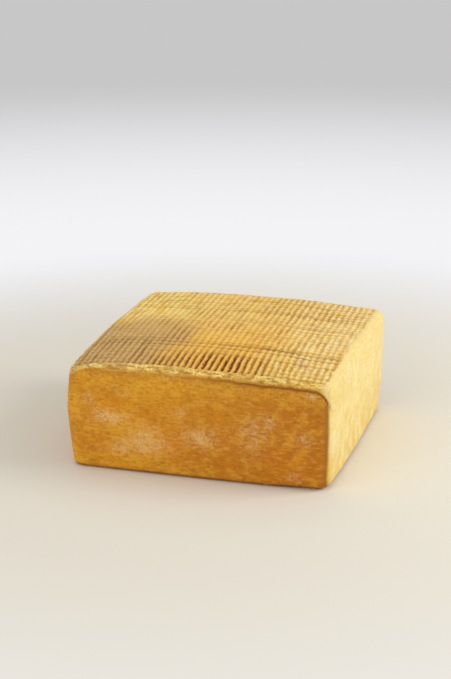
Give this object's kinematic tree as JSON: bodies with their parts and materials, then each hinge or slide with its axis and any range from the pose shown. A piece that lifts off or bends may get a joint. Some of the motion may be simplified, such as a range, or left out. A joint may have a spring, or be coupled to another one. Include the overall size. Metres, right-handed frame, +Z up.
{
  "type": "maroilles cheese",
  "caption": "Whole square washed-rind soft cheese with a crowned, ribbed top, rounded edges and slightly swollen sides; serves as a food prop.",
  "frame": {"origin": "middle of the underside, on the plane that the cheese rests on", "axes": "+Z up, -Y towards the front face, +X to the right of the front face; the ribs of the top run nearly along Y"},
  "size_m": [0.1284, 0.128, 0.0566],
  "materials": {
    "rind": "dull, moist washed rind in ochre and straw, darker in the valleys of its ribs"
  },
  "bodies": {
    "root": {"maroilles_cheese": "rind"}
  },
  "joints": []
}
